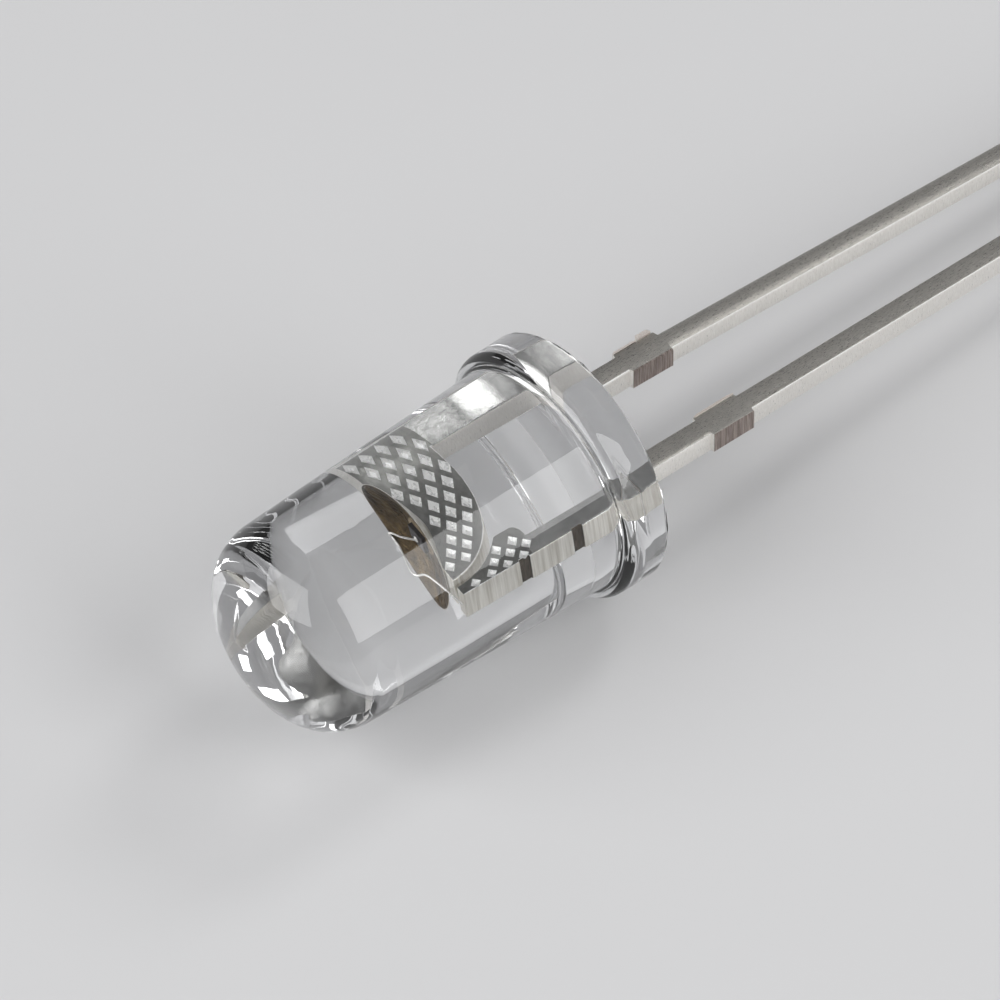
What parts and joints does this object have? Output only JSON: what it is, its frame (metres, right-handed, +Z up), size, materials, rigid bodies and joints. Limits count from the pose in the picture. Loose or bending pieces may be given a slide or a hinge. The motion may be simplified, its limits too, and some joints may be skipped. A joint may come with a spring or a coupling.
{
  "type": "through hole led",
  "caption": "Clear round through-hole LED with a flanged domed epoxy body, a stamped lead frame, a reflector cup and straight square leads, lying on its side.",
  "frame": {"origin": "centre of the footprint of the LED lying on a flat surface, at the height of that surface", "axes": "+X runs along the LED from the lead tips to the dome, +Y is to the side of the anode lead, +Z is up from the surface that it lies on"},
  "size_m": [0.0356, 0.0056, 0.0058],
  "materials": {
    "epoxy_body": "water-clear cast epoxy with a smooth glossy skin and a faint grey tint",
    "cathode_lead": "silver-plated steel, coined and slightly grained, with dull sheared edges",
    "anode_lead": "silver-plated steel, coined and slightly grained, with dull sheared edges",
    "led_chip": "dark semiconductor die with a satin face",
    "chip_adhesive": "cured silver-filled adhesive, dull and slightly golden",
    "bond_wire": "bright drawn wire"
  },
  "bodies": {
    "root": {"epoxy_body": "epoxy_body", "cathode_lead": "cathode_lead", "anode_lead": "anode_lead", "led_chip": "led_chip", "chip_adhesive": "chip_adhesive", "bond_wire": "bond_wire"}
  },
  "joints": []
}
